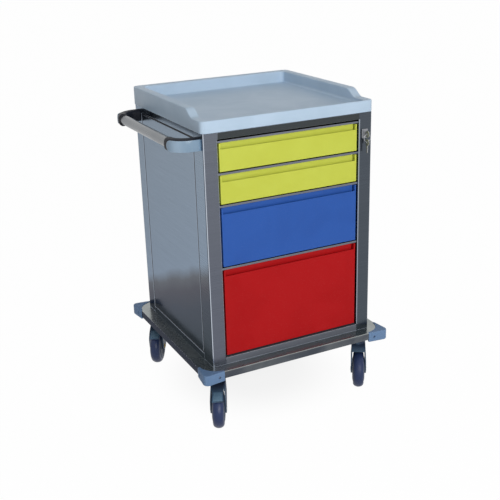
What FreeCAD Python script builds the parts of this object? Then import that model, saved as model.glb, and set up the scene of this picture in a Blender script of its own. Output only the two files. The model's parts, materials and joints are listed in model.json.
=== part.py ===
import FreeCAD, Part
import math
import os

os.makedirs("parts", exist_ok=True)

# Working frame: x to the right, y to the rear, z up, zero at the middle of the cabinet on the floor.
# Everything is moved by frame_shift at the end, so that the origin is the middle of the whole footprint.

# Sheet metal
sheet = 1.2
hem = 2 * sheet
bend = 5.0

# Cabinet carcass, outer faces
half_width = 292.0
half_depth = 280.0
carcass_bottom = 202.0
carcass_top = 952.0
post_face = 47.0
post_flange = 68.0
rear_return = 57.0
band_height = 21.0
panel_lap = 10.0
panel_groove = 6.0
panel_rise = 2.0
opening_half_width = half_width - post_face
opening_top = carcass_top - band_height
rail_depth = 30.0

# Drawer modules
unit = 100.0
module_units = [1, 1, 2, 3]
pull_drop = 32.0
strip_height = 6.5
strip_gap = 4.0
top_strip_extra_gap = 2.0
strip_setback = 6.0
strip_depth = 4.0
recess_clearance = 2.0
face_setback = 5.0
face_half_width = 239.5
recess_half_width = 232.5
pull_end_width = 5.0
recess_setback = 16.0
pull_depth = 26.0
box_half_width = 232.0
box_rear = 232.0
box_bottom_gap = 6.0
box_top_gap = 5.0
slide_front = -260.0
slide_length = 450.0
slide_half_height = 22.5
slide_above_face = 32.0
drawer_sheet = 1.2
fixed_slide_gap = 2.5
moving_slide_gap = 8.5
slide_nest = 2.0
moving_slide_less = 4.2

# Base and bumpers
base_half_width = 333.5
base_half_depth = 318.5
base_height = 25.0
base_sheet = 2.0
base_corner = 62.0
bumper_end_proud = 2.5
bumper_corner_proud = 12.0
bumper_front_leg = 63.0
bumper_side_leg = 64.0
bumper_lip = 1.6
bumper_lip_width = 4.0
bumper_under = 8.5
bumper_corner = 17.0
bumper_screw_inset = 43.0
bumper_screw_z = 186.0
screw_head_radius = 4.5
screw_head_height = 2.4
screw_shank_radius = 2.0
screw_play = 0.2

# Worktop
top_half_width = 297.0
top_half_depth = 282.0
top_front_height = 36.5
top_rim_height = 60.5
top_rim_width = 29.0
top_lip_width = 9.0
top_floor = 21.5
top_wall = 4.0
top_corner = 18.0
top_cove = 12.0
rim_slope_start = -170.0
rim_slope_end = -221.0
rim_knee_run = 9.0
rim_knee_drop = 6.0
rim_shoulder_run = 3.5
rim_shoulder_drop = 1.6
rim_belly_run = 3.5
rim_belly_rise = 5.0
recess_corner = 14.0

# Side handle
bar_radius = 16.0
bar_wall = 1.5
bar_x = -360.5
bar_z = 919.0
elbow_bend = 47.0
elbow_arm_y = 244.5
elbow_height = 41.0
elbow_inside = 11.5
elbow_outside = 19.0
elbow_collar_length = 9.0
elbow_collar_radius = 20.5
collar_root = 2.0
bar_socket = 1.0
cover_thickness = 2.5
cover_below = 18.5
cover_above = 16.0
fit_gap = 0.05

# Lock
lock_x = 265.0
lock_z = 884.5
lock_plate_width = 21.0
lock_plate_height = 29.0
lock_plate_thickness = 3.0
lock_plate_corner = 3.0
lock_barrel_radius = 9.5
lock_barrel_length = 25.0
plug_radius = 6.0
plug_proud = 1.5
key_thickness = 2.0
key_bow_radius = 11.0
key_hole_radius = 3.0
key_reach = 20.0
key_blade_height = 7.0
key_play = 0.2
key_bow_gap = 1.0
spare_key_length = 34.0
spare_key_play = 0.3
ring_radius = 12.0
ring_wire = 0.8
cam_arm = 9.0
cam_pin_radius = 2.0
cam_slot_play = 2.4
cam_gap = 2.0
cam_thickness = 3.0
cam_half_height = 4.0
cam_pin_reach = 6.0
lock_bar_width = 14.0
lock_bar_thickness = 3.0
lock_bar_offset = 0.6
lock_bar_setback = 1.5
lock_bar_foot = 40.0
lock_bar_head = 25.0

# Casters
wheel_radius = 62.5
tread_half = 18.0
tyre_shoulder = 6.0
hub_radius = 47.0
guard_half = 20.5
guard_radius = 44.0
guard_face_radius = 34.0
axle_radius = 5.0
axle_head_radius = 8.0
axle_head_proud = 1.5
caster_trail = 40.0
caster_x = 269.0
caster_y = 260.0
fork_top = 145.5
fork_inner_half = 21.5
fork_outer_half = 26.0
fork_top_half = 23.0
fork_head_radius = 23.0
fork_profile = [
    (-fork_head_radius, fork_top), (fork_head_radius, fork_top), (52, 122), (64, 98), (60, 62),
    (50, 50), (30, 48), (10, 62), (-8, 90), (-22, 122),
]
fork_shoulder_z = 100.0
wheel_clearance = 4.0
kingpin_radius = 6.0
kingpin_length = 12.0
pedal_half_width = 18.0
pedal_pivot = 22.0
pedal_pivot_z = 140.0
pedal_barrel = 4.5
pedal_pin = 2.0
pedal_tip = 88.0
pedal_tip_z = 115.0
pedal_clearance = 4.5
pedal_side_play = 0.6
pedal_back_play = 0.8
pedal_slot_floor = 90.0
pedal_tip_thickness = 12.0
pedal_crest = [(18.0, -3.5), (38.0, -13.0)]
neck_plate_half = 38.0
neck_plate_thickness = 4.0
neck_gap = 0.6
casters = [
    ("front_left", -1, -1, 27.0, True),
    ("front_right", 1, -1, 33.0, False),
    ("rear_left", -1, 1, 33.0, True),
    ("rear_right", 1, 1, 40.0, False),
]

up = FreeCAD.Vector(0, 0, 1)
origin = FreeCAD.Vector(0, 0, 0)
parts = {}


def box(x0, x1, y0, y1, z0, z1):
    """A box between two corners, given in either order."""
    low = FreeCAD.Vector(min(x0, x1), min(y0, y1), min(z0, z1))
    return Part.makeBox(abs(x1 - x0), abs(y1 - y0), abs(z1 - z0), low)


def rod(radius, start, end):
    """A solid round bar from one point to another."""
    start = FreeCAD.Vector(*start)
    along = FreeCAD.Vector(*end) - start
    return Part.makeCylinder(radius, along.Length, start, along)


def prism(points, direction):
    """A closed polygon of points pushed along a direction."""
    corners = [FreeCAD.Vector(*point) for point in points]
    wire = Part.makePolygon(corners + corners[:1])
    return Part.Face(wire).extrude(FreeCAD.Vector(*direction))


def rounded_box(x0, x1, y0, y1, z0, z1, radius):
    """A box with its four upright edges rounded."""
    block = box(x0, x1, y0, y1, z0, z1)
    return block.makeFillet(radius, upright_edges(block))


def upright_edges(block, x=None, y=None):
    """The edges along z, or only those that stand at the given x and y."""
    found = []
    for edge in block.Edges:
        a = edge.Vertexes[0].Point
        b = edge.Vertexes[-1].Point
        upright = abs(a.x - b.x) < 1e-6 and abs(a.y - b.y) < 1e-6 and abs(a.z - b.z) > 1e-6
        at_x = x is None or abs(a.x - x) < 1e-6
        at_y = y is None or abs(a.y - y) < 1e-6
        if upright and at_x and at_y:
            found.append(edge)
    return found


def mirror_x(shape):
    """The same shape on the other side of the x = 0 plane."""
    return shape.mirror(origin, FreeCAD.Vector(1, 0, 0))


def mirror_y(shape):
    """The same shape on the other side of the y = 0 plane."""
    return shape.mirror(origin, FreeCAD.Vector(0, 1, 0))


def fuse(shapes):
    """One solid from several that touch."""
    return shapes[0].multiFuse(shapes[1:]).removeSplitter()


# Carcass

inner_bottom = carcass_bottom + sheet
inner_top = carcass_top - sheet


def make_uprights():
    """Front posts: a face folded on both sides, a hemmed side flange and a wall that carries the slides."""
    x0 = opening_half_width
    y0 = -half_depth
    y1 = y0 + post_flange
    outer = box(x0, half_width, y0, y1, inner_bottom, inner_top)
    outer = outer.makeFillet(bend, upright_edges(outer, half_width, y0))
    hollow = box(x0 + sheet, half_width - hem, y0 + sheet, y1 + hem, inner_bottom, inner_top)
    hollow = hollow.makeFillet(bend - hem, upright_edges(hollow, half_width - hem, y0 + sheet))
    hollow = hollow.makeFillet(bend - sheet, upright_edges(hollow, x0 + sheet, y0 + sheet))
    fold_low = carcass_bottom + band_height + hem
    corner = box(x0, x0 + bend, y0, y0 + bend, fold_low, opening_top)
    fold = Part.makeCylinder(bend, opening_top - fold_low, FreeCAD.Vector(x0 + bend, y0 + bend, fold_low), up)
    outer = outer.cut(corner.cut(fold))
    wall = box(x0, x0 + sheet, y0 + bend, half_depth - sheet, inner_bottom, inner_top)
    right = fuse([outer.cut(hollow), wall])
    parts["front_left_upright"] = mirror_x(right)
    bore = rod(lock_barrel_radius + fit_gap, (lock_x, y0 - 1, lock_z), (lock_x, y0 + bend, lock_z))
    parts["front_right_upright"] = right.cut(bore)


def make_rear_shell():
    """Back panel with a rounded return down each side."""
    y0 = half_depth - rear_return
    outer = box(-half_width, half_width, y0, half_depth, inner_bottom, inner_top)
    corners = upright_edges(outer, half_width, half_depth) + upright_edges(outer, -half_width, half_depth)
    outer = outer.makeFillet(bend, corners)
    x1 = half_width - hem
    hollow = box(-x1, x1, y0 - hem, half_depth - sheet, inner_bottom, inner_top)
    corners = upright_edges(hollow, x1, half_depth - sheet) + upright_edges(hollow, -x1, half_depth - sheet)
    parts["rear_shell"] = outer.cut(hollow.makeFillet(bend - hem, corners))


def make_deck_and_floor():
    """Top and bottom sheets, each with a hemmed flange along both sides."""
    flange_front = -half_depth + post_flange
    flange_rear = half_depth - rear_return
    for name, z_sheet, z_flange in (("top_deck", inner_top, opening_top),
                                    ("floor_pan", carcass_bottom, carcass_bottom + band_height)):
        plate = rounded_box(-half_width, half_width, -half_depth, half_depth, z_sheet, z_sheet + sheet, bend)
        pieces = [plate]
        for side in (-1, 1):
            pieces.append(box(side * half_width, side * (half_width - hem), flange_front, flange_rear,
                              z_flange, z_sheet + sheet / 2))
        parts[name] = fuse(pieces)


def make_side_panels():
    """Panels held behind the flanges that frame them, with a raised field inside a narrow groove."""
    x1 = half_width - hem
    y0 = -half_depth + post_flange
    y1 = half_depth - rear_return
    z0 = carcass_bottom + band_height
    gap = panel_groove
    plate = box(x1 - sheet, x1, y0 - panel_lap, y1 + panel_lap, z0 - panel_lap, opening_top + panel_lap)
    field = box(x1 - sheet, x1 + panel_rise, y0 + gap, y1 - gap, z0 + gap, opening_top - gap)
    hollow = box(x1 - sheet, x1 + panel_rise - sheet, y0 + gap + sheet, y1 - gap - sheet,
                 z0 + gap + sheet, opening_top - gap - sheet)
    right = fuse([plate, field]).cut(hollow)
    parts["right_side_panel"] = right
    parts["left_side_panel"] = mirror_x(right)


def make_front_rails():
    """Rails that close the front above and below the drawers."""
    x1 = opening_half_width
    y0 = -half_depth
    face = box(-x1, x1, y0, y0 + sheet, opening_top, inner_top)
    ledge = box(-x1, x1, y0, y0 + rail_depth, opening_top, opening_top + sheet)
    parts["front_top_rail"] = fuse([face, ledge])
    rail_top = carcass_bottom + band_height + hem
    face = box(-x1, x1, y0, y0 + sheet, inner_bottom, rail_top)
    ledge = box(-x1, x1, y0, y0 + rail_depth, rail_top - sheet, rail_top)
    parts["front_bottom_rail"] = fuse([face, ledge])


def strip_top(module_top):
    """The top of the strip over a drawer; the first hangs lower, under the rail."""
    extra = top_strip_extra_gap if module_top == opening_top else 0.0
    return module_top - strip_gap - extra


def make_divider_rails(tops):
    """A slim channel across the opening above each drawer."""
    x1 = opening_half_width
    y0 = -half_depth + strip_setback
    strips = []
    for top in tops:
        z1 = strip_top(top)
        z0 = z1 - strip_height
        channel = box(-x1, x1, y0, y0 + strip_depth, z0, z1)
        strips.append(channel.cut(box(-x1, x1, y0 + sheet, y0 + strip_depth, z0 + sheet, z1 - sheet)))
    parts["divider_rails"] = Part.makeCompound(strips)


# Drawers and slides

def channel_right(web_outer, web_inner, flange_tip, half_height, z):
    """One slide member on the right: a web with a flange at its top and its bottom."""
    y1 = slide_front + slide_length
    web = box(web_outer, web_inner, slide_front, y1, z - half_height, z + half_height)
    top = box(web_inner, flange_tip, slide_front, y1, z + half_height - sheet, z + half_height)
    bottom = box(web_inner, flange_tip, slide_front, y1, z - half_height, z - half_height + sheet)
    return fuse([web, top, bottom])


def both_sides(shape):
    """A right-hand piece and its left-hand twin."""
    return [shape, mirror_x(shape)]


def make_drawer(name, top, bottom):
    """A folded front with a full-width pull, an open-topped box and its slide members."""
    face_top = top - pull_drop
    y_face = -half_depth + face_setback
    y_recess = -half_depth + recess_setback
    y_recess_back = y_recess + drawer_sheet
    pull_bottom = face_top - pull_depth
    recess_top = strip_top(top) - strip_height - recess_clearance
    x_face = face_half_width
    x_recess = recess_half_width
    wall = drawer_sheet

    face = box(-x_face, x_face, y_face, y_face + wall, bottom, face_top)
    face_hem = box(-x_face, x_face, y_face + wall, y_face + 2 * wall, pull_bottom, face_top)
    pull_floor = box(-x_face, x_face, y_face + wall, y_recess_back, pull_bottom, pull_bottom + wall)
    recess = box(-x_recess, x_recess, y_recess, y_recess_back, bottom, recess_top)
    sill = box(-x_face, x_face, y_face + wall, y_recess_back, bottom, bottom + wall)
    pieces = [face, face_hem, pull_floor, recess, sill]
    for side in (-1, 1):
        pieces.append(box(side * x_face, side * (x_face - wall), y_face + wall, y_recess_back,
                          bottom, pull_bottom + wall))
        pieces.append(box(side * x_face, side * (x_face - pull_end_width), y_face, y_recess_back,
                          pull_bottom, recess_top))
    parts[name + "_front"] = fuse(pieces)

    z0 = bottom + box_bottom_gap
    z1 = face_top - box_top_gap
    x1 = box_half_width
    outer = box(-x1, x1, y_recess_back, box_rear, z0, z1)
    inner = box(-x1 + wall, x1 - wall, y_recess_back + wall, box_rear - wall, z0 + wall, z1)
    parts[name + "_box"] = outer.cut(inner)

    z = bottom + slide_above_face
    fixed = channel_right(opening_half_width, opening_half_width - sheet, box_half_width + fixed_slide_gap,
                          slide_half_height, z)
    x_middle = opening_half_width - slide_nest
    middle = channel_right(x_middle, x_middle - sheet, box_half_width + fixed_slide_gap,
                           slide_half_height - slide_nest, z)
    moving = channel_right(box_half_width, box_half_width + sheet, box_half_width + moving_slide_gap,
                           slide_half_height - moving_slide_less, z)
    parts[name + "_middle_slides"] = Part.makeCompound(both_sides(middle))
    parts[name + "_slides"] = Part.makeCompound(both_sides(moving))
    return both_sides(fixed)


# Base, bumpers, screws

def make_base():
    """A folded pan, open underneath, with its corners rounded under the bumpers."""
    x1 = base_half_width
    y1 = base_half_depth
    z0 = carcass_bottom - base_height
    outer = rounded_box(-x1, x1, -y1, y1, z0, carcass_bottom, base_corner)
    inner = rounded_box(-x1 + base_sheet, x1 - base_sheet, -y1 + base_sheet, y1 - base_sheet,
                        z0, carcass_bottom - base_sheet, base_corner - base_sheet)
    parts["base_frame"] = outer.cut(inner)


def four_corners(shape):
    """A piece for the right front corner and its three mirror images."""
    return [shape, mirror_x(shape), mirror_y(shape), mirror_x(mirror_y(shape))]


def bumper_outline(z0, z1):
    """The plan of a corner buffer: two legs that flare away from the base as they near the corner."""
    x_base = base_half_width
    y_base = -base_half_depth
    corner_x = x_base + bumper_corner_proud
    corner_y = y_base - bumper_corner_proud
    points = [
        (x_base - bumper_front_leg, y_base - bumper_end_proud, z0),
        (corner_x, corner_y, z0),
        (x_base + bumper_end_proud, y_base + bumper_side_leg, z0),
        (x_base - bumper_front_leg, y_base + bumper_side_leg, z0),
    ]
    block = prism(points, (0, 0, z1 - z0))
    return block.makeFillet(bumper_corner, upright_edges(block, corner_x, corner_y))


def make_bumpers():
    """Corner buffers that wrap the edge of the base, and the screws that hold them."""
    x_base = base_half_width
    y_base = base_half_depth
    z0 = carcass_bottom - base_height - bumper_under
    z1 = carcass_bottom + bumper_lip
    inset = bumper_lip_width
    hole = rounded_box(-x_base + inset, x_base - inset, -y_base + inset, y_base - inset, z0, z1, base_corner)
    base = rounded_box(-x_base, x_base, -y_base, y_base, carcass_bottom - base_height, carcass_bottom,
                       base_corner)
    bumper = bumper_outline(z0, z1).cut(hole).cut(base)
    screw_x = x_base - bumper_screw_inset
    screw_y = y_base - bumper_screw_inset
    reach = bumper_corner_proud
    z = bumper_screw_z
    bumper = bumper.cut(rod(screw_head_radius, (screw_x, -y_base - reach, z), (screw_x, -y_base, z)))
    bumper = bumper.cut(rod(screw_head_radius, (x_base + reach, -screw_y, z), (x_base, -screw_y, z)))
    head = screw_head_radius - screw_play
    shank_end = base_sheet + 2 * screw_head_height
    front = fuse([rod(head, (screw_x, -y_base - screw_head_height, z), (screw_x, -y_base, z)),
                  rod(screw_shank_radius, (screw_x, -y_base, z), (screw_x, -y_base + shank_end, z))])
    side = fuse([rod(head, (x_base + screw_head_height, -screw_y, z), (x_base, -screw_y, z)),
                 rod(screw_shank_radius, (x_base, -screw_y, z), (x_base - shank_end, -screw_y, z))])
    screws = Part.makeCompound(four_corners(front) + four_corners(side))
    parts["corner_bumpers"] = Part.makeCompound(four_corners(bumper.cut(front).cut(side)))
    parts["fixing_screws"] = screws
    parts["base_frame"] = parts["base_frame"].cut(screws)


# Worktop

def make_worktop():
    """A moulded tray: low front edge, higher rim on three sides that slopes down near the front."""
    x1 = top_half_width
    y1 = top_half_depth
    z0 = carcass_top
    z_lip = z0 + top_front_height
    z_rim = z0 + top_rim_height
    z_floor = z0 + top_floor
    outer = rounded_box(-x1, x1, -y1, y1, z0, z_rim, top_corner)

    knee_y = rim_slope_start - rim_knee_run
    knee_z = z_rim - rim_knee_drop
    start = FreeCAD.Vector(-x1 - 1, rim_slope_start, z_rim)
    knee = FreeCAD.Vector(-x1 - 1, knee_y, knee_z)
    belly_y = (knee_y + rim_slope_end) / 2 - rim_belly_run
    belly = FreeCAD.Vector(-x1 - 1, belly_y, z_lip + rim_belly_rise)
    foot = FreeCAD.Vector(-x1 - 1, rim_slope_end, z_lip)
    shoulder = FreeCAD.Vector(-x1 - 1, rim_slope_start - rim_shoulder_run,
                              z_rim - rim_shoulder_drop)
    front = FreeCAD.Vector(-x1 - 1, -y1 - 1, z_lip)
    front_high = FreeCAD.Vector(-x1 - 1, -y1 - 1, z_rim + 1)
    start_high = FreeCAD.Vector(-x1 - 1, rim_slope_start, z_rim + 1)
    edges = [
        Part.Arc(start, shoulder, knee).toShape(),
        Part.Arc(knee, belly, foot).toShape(),
        Part.makeLine(foot, front),
        Part.makeLine(front, front_high),
        Part.makeLine(front_high, start_high),
        Part.makeLine(start_high, start),
    ]
    notch = Part.Face(Part.Wire(edges)).extrude(FreeCAD.Vector(2 * x1 + 2, 0, 0))

    recess = rounded_box(-x1 + top_rim_width, x1 - top_rim_width, -y1 + top_lip_width, y1 - top_rim_width,
                         z_floor, z_rim + top_cove, recess_corner)
    foot_edges = [edge for edge in recess.Edges
                  if all(abs(vertex.Point.z - z_floor) < 1e-6 for vertex in edge.Vertexes)]
    recess = recess.makeFillet(top_cove, foot_edges)
    tray = outer.cut(notch).cut(recess)

    wall = top_wall
    under = box(-x1 + wall + hem, x1 - wall - hem, -y1 + wall + hem, y1 - wall - hem, z0, z_floor - wall)
    rim_front = rim_slope_start + wall
    side_hollow = box(x1 - top_rim_width + wall, x1 - wall - hem, rim_front, y1 - wall - hem,
                      z0, z_rim - wall)
    rear_hollow = box(-x1 + wall + hem, x1 - wall - hem, y1 - top_rim_width + wall, y1 - wall - hem,
                      z0, z_rim - wall)
    hollow = fuse([under, side_hollow, mirror_x(side_hollow), rear_hollow])
    parts["worktop"] = tray.cut(hollow)


# Side handle

def make_handle():
    """A tube between two curved elbows, each with a cap on its outer face."""
    z0 = bar_z - elbow_height / 2
    z1 = bar_z + elbow_height / 2
    centre_x = bar_x + elbow_bend
    centre_y = -(elbow_arm_y - elbow_bend)
    inner = elbow_bend - elbow_inside
    outer = elbow_bend + elbow_outside

    def band(small, large, low, high):
        """A quarter turn and a straight arm to the cabinet, between two bend radii."""
        ring = Part.makeCylinder(large, high - low, FreeCAD.Vector(centre_x, centre_y, low), up)
        ring = ring.cut(Part.makeCylinder(small, high - low, FreeCAD.Vector(centre_x, centre_y, low), up))
        quarter = ring.common(box(centre_x - large, centre_x, centre_y - large, centre_y, low, high))
        arm = box(centre_x, -half_width, centre_y - large, centre_y - small, low, high)
        return fuse([quarter, arm])

    collar_end = centre_y + elbow_collar_length
    body = band(inner, outer, z0, z1)
    collar = rod(elbow_collar_radius, (bar_x, centre_y - collar_root, bar_z), (bar_x, collar_end, bar_z))
    bar_end = centre_y + bar_socket
    bore = rod(bar_radius + fit_gap, (bar_x, bar_end, bar_z), (bar_x, collar_end, bar_z))
    elbow = fuse([body, collar]).cut(bore)
    cover = band(outer, outer + cover_thickness, bar_z - cover_below, bar_z + cover_above)
    cover = cover.cut(collar)
    parts["handle_elbow_front"] = elbow
    parts["handle_elbow_rear"] = mirror_y(elbow)
    parts["handle_elbow_covers"] = Part.makeCompound([cover, mirror_y(cover)])
    bar = rod(bar_radius, (bar_x, bar_end, bar_z), (bar_x, -bar_end, bar_z))
    bar_bore = rod(bar_radius - bar_wall, (bar_x, bar_end, bar_z), (bar_x, -bar_end, bar_z))
    parts["handle_bar"] = bar.cut(bar_bore)


# Lock

def make_key(hole_z, hole_y, blade_along):
    """A flat key: a round bow with a hole, and a blade that leaves the bow along a direction."""
    x0 = lock_x - key_thickness / 2
    x1 = lock_x + key_thickness / 2
    bow = rod(key_bow_radius, (x0, hole_y, hole_z), (x1, hole_y, hole_z))
    tip_y = hole_y + blade_along[0]
    tip_z = hole_z + blade_along[1]
    half = key_blade_height / 2
    if abs(blade_along[0]) > 0:
        blade = box(x0, x1, hole_y, tip_y, hole_z - half, hole_z + half)
    else:
        blade = box(x0, x1, hole_y - half, hole_y + half, hole_z, tip_z)
    hole = rod(key_hole_radius, (x0 - 1, hole_y, hole_z), (x1 + 1, hole_y, hole_z))
    return fuse([bow, blade]).cut(hole)


def make_lock():
    """Barrel, plug with a rear crank, key, ring, spare key, and the bar the crank pulls down."""
    y_face = -half_depth
    y_plate = y_face - lock_plate_thickness
    y_rear = y_face + lock_barrel_length
    plate = box(lock_x - lock_plate_width / 2, lock_x + lock_plate_width / 2, y_plate, y_face,
                lock_z - lock_plate_height / 2, lock_z + lock_plate_height / 2)
    corners = [edge for edge in plate.Edges
               if abs(edge.Vertexes[0].Point.y - edge.Vertexes[-1].Point.y) > lock_plate_thickness / 2]
    plate = plate.makeFillet(lock_plate_corner, corners)
    barrel = fuse([plate, rod(lock_barrel_radius, (lock_x, y_face, lock_z), (lock_x, y_rear, lock_z))])
    parts["lock_barrel"] = barrel.cut(rod(plug_radius + fit_gap, (lock_x, y_plate, lock_z),
                                          (lock_x, y_rear, lock_z)))

    y_plug = y_plate - plug_proud
    cam_y = y_rear + cam_gap
    cam_back = cam_y + cam_thickness
    pin_x = lock_x - cam_arm
    plug = rod(plug_radius, (lock_x, y_plug, lock_z), (lock_x, cam_y, lock_z))
    keyway_half = key_thickness / 2 + key_play
    keyway_rise = key_blade_height / 2 + key_play
    keyway = box(lock_x - keyway_half, lock_x + keyway_half, y_plug, y_rear,
                 lock_z - keyway_rise, lock_z + keyway_rise)
    arm = box(pin_x - 2 * cam_pin_radius, lock_x, cam_y, cam_back,
              lock_z - cam_half_height, lock_z + cam_half_height)
    boss = rod(plug_radius, (lock_x, cam_y, lock_z), (lock_x, cam_back, lock_z))
    pin = rod(cam_pin_radius, (pin_x, cam_back, lock_z), (pin_x, cam_back + cam_pin_reach, lock_z))
    parts["lock_plug"] = fuse([plug.cut(keyway), boss, arm, pin])

    hole_y = y_plug - key_bow_radius - key_bow_gap
    parts["key"] = make_key(lock_z, hole_y, (key_bow_radius + key_bow_gap + key_reach, 0))
    ring_z = lock_z - ring_radius
    parts["key_ring"] = Part.makeTorus(ring_radius, ring_wire, FreeCAD.Vector(lock_x, hole_y, ring_z),
                                       FreeCAD.Vector(0, 1, 0))
    spare_z = ring_z - ring_radius - key_hole_radius + ring_wire + spare_key_play
    parts["spare_key"] = make_key(spare_z, hole_y, (0, -spare_key_length))

    bar_y = cam_back + lock_bar_setback
    bar_x0 = opening_half_width + sheet + lock_bar_offset
    bar = box(bar_x0, bar_x0 + lock_bar_width, bar_y, bar_y + lock_bar_thickness,
              carcass_bottom + lock_bar_foot, inner_top - lock_bar_head)
    slot_half = cam_pin_radius + cam_slot_play
    slot = box(pin_x - cam_pin_radius - 1, lock_x + 1, bar_y - 1, bar_y + lock_bar_thickness + 1,
               lock_z - slot_half, lock_z + slot_half)
    parts["lock_bar"] = bar.cut(slot)


# Casters

def place(shape, turn, side_x, side_y):
    """Turn a caster piece about its swivel axis and stand it in its corner."""
    moved = shape.copy()
    moved.rotate(origin, up, turn)
    moved.translate(FreeCAD.Vector(side_x * caster_x, side_y * caster_y, 0))
    return moved


def wheel_disc(radius, half):
    """A disc about the axle, in the caster's own frame, where the wheel trails along +x."""
    return rod(radius, (caster_trail, -half, wheel_radius), (caster_trail, half, wheel_radius))


def make_wheel():
    """A solid tyre with rounded shoulders on a hub with a sloped guard each side."""
    tyre = wheel_disc(wheel_radius, tread_half)
    shoulders = [edge for edge in tyre.Edges if edge.Curve.TypeId == "Part::GeomCircle"]
    tyre = tyre.makeFillet(tyre_shoulder, shoulders).cut(wheel_disc(hub_radius, tread_half))
    hub = wheel_disc(hub_radius, tread_half)
    for side in (-1, 1):
        guard = Part.makeCone(guard_radius, guard_face_radius, guard_half - tread_half,
                              FreeCAD.Vector(caster_trail, side * tread_half, wheel_radius),
                              FreeCAD.Vector(0, side, 0))
        hub = hub.fuse(guard)
    hub = hub.removeSplitter().cut(wheel_disc(axle_radius + fit_gap, guard_half))
    return tyre, hub


def make_fork(braked):
    """The swivelling housing: two cheeks and a head, hooded over the wheel, narrower at the top."""
    half = fork_outer_half
    side = prism([(x, -half, z) for x, z in fork_profile], (0, 2 * half, 0))
    low_x = min(x for x, z in fork_profile) - 1
    high_x = max(x for x, z in fork_profile) + 1
    top = fork_top_half
    front_profile = [(-half, 0), (half, 0), (half, fork_shoulder_z), (top, fork_top), (-top, fork_top),
                     (-half, fork_shoulder_z)]
    front = prism([(low_x, y, z) for y, z in front_profile], (high_x - low_x, 0, 0))
    body = side.common(front)
    head = rod(fork_head_radius, (0, 0, fork_top - wheel_clearance * 3), (0, 0, fork_top))
    body = body.fuse(head).cut(wheel_disc(wheel_radius + wheel_clearance, fork_inner_half))
    body = body.cut(rod(kingpin_radius + fit_gap, (0, 0, fork_top - kingpin_length - 1), (0, 0, fork_top)))
    body = body.cut(wheel_disc(axle_radius + fit_gap, half))
    if braked:
        slot_half = pedal_half_width + pedal_side_play
        start = pedal_pivot - pedal_barrel - pedal_back_play
        body = body.cut(box(start, high_x, -slot_half, slot_half, pedal_slot_floor, fork_top + 1))
        body = body.fuse(rod(pedal_pin, (pedal_pivot, -slot_half - 1, pedal_pivot_z),
                             (pedal_pivot, slot_half + 1, pedal_pivot_z)))
    return body.removeSplitter()


def make_pedal():
    """Brake lever over the tread, turning on a pin in the housing."""
    half = pedal_half_width
    top_z = pedal_pivot_z + pedal_barrel
    outline = [(pedal_pivot, top_z)]
    outline += [(pedal_pivot + along, top_z + rise) for along, rise in pedal_crest]
    outline += [(pedal_tip, pedal_tip_z), (pedal_tip, pedal_tip_z - pedal_tip_thickness),
                (pedal_pivot, pedal_pivot_z - pedal_barrel)]
    plate = prism([(x, -half, z) for x, z in outline], (0, 2 * half, 0))
    barrel = rod(pedal_barrel, (pedal_pivot, -half, pedal_pivot_z), (pedal_pivot, half, pedal_pivot_z))
    pedal = fuse([plate, barrel]).cut(wheel_disc(wheel_radius + pedal_clearance, half + 1))
    return pedal.cut(rod(pedal_pin + fit_gap, (pedal_pivot, -half, pedal_pivot_z),
                         (pedal_pivot, half, pedal_pivot_z)))


def make_casters():
    """Four swivelling casters, two of them braked, and the necks that join them to the base."""
    tyre, hub = make_wheel()
    pedal = make_pedal()
    axle_end = fork_outer_half + axle_head_proud
    axle = fuse([wheel_disc(axle_radius, axle_end),
                 rod(axle_head_radius, (caster_trail, fork_outer_half, wheel_radius),
                     (caster_trail, axle_end, wheel_radius)),
                 rod(axle_head_radius, (caster_trail, -fork_outer_half, wheel_radius),
                     (caster_trail, -axle_end, wheel_radius))])
    plate_top = carcass_bottom - base_sheet
    plate_bottom = plate_top - neck_plate_thickness
    neck_bottom = fork_top + neck_gap
    half = neck_plate_half
    neck = fuse([rod(fork_top_half, (0, 0, neck_bottom), (0, 0, plate_bottom)),
                 box(-half, half, -half, half, plate_bottom, plate_top),
                 rod(kingpin_radius, (0, 0, fork_top - kingpin_length), (0, 0, neck_bottom))])
    necks = []
    for name, side_x, side_y, angle, braked in casters:
        turn = -90 - angle
        parts["caster_" + name + "_fork"] = place(make_fork(braked), turn, side_x, side_y)
        parts["caster_" + name + "_axle"] = place(axle, turn, side_x, side_y)
        parts["caster_" + name + "_tyre"] = place(tyre, turn, side_x, side_y)
        parts["caster_" + name + "_hub"] = place(hub, turn, side_x, side_y)
        necks.append(place(neck, 0, side_x, side_y))
        if braked:
            parts["brake_pedal_" + name] = place(pedal, turn, side_x, side_y)
    parts["caster_stems"] = Part.makeCompound(necks)


make_uprights()
make_rear_shell()
make_deck_and_floor()
make_side_panels()
make_front_rails()

module_tops = []
level = opening_top
for count in module_units:
    module_tops.append(level)
    level -= count * unit
module_bottoms = module_tops[1:] + [level]
make_divider_rails(module_tops)
fixed_slides = []
for number, (top, bottom) in enumerate(zip(module_tops, module_bottoms), start=1):
    fixed_slides += make_drawer("drawer_" + str(number), top, bottom)
parts["cabinet_slides"] = Part.makeCompound(fixed_slides)

make_base()
make_bumpers()
make_worktop()
make_handle()
make_lock()
make_casters()

# The origin stands under the middle of the whole footprint.
whole = Part.makeCompound(list(parts.values())).optimalBoundingBox(False, False)
frame_shift = FreeCAD.Vector(-(whole.XMin + whole.XMax) / 2, -(whole.YMin + whole.YMax) / 2, 0)
for name, shape in parts.items():
    shape.translate(frame_shift)
    shape.exportStep("parts/" + name + ".step")
print("nodes", len(parts), "shift", frame_shift, "size", whole.XLength, whole.YLength, whole.ZMax)
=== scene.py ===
import bpy
import bmesh
import json
from math import atan2, cos, pi, radians, sin
from mathutils import Matrix, Vector


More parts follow.
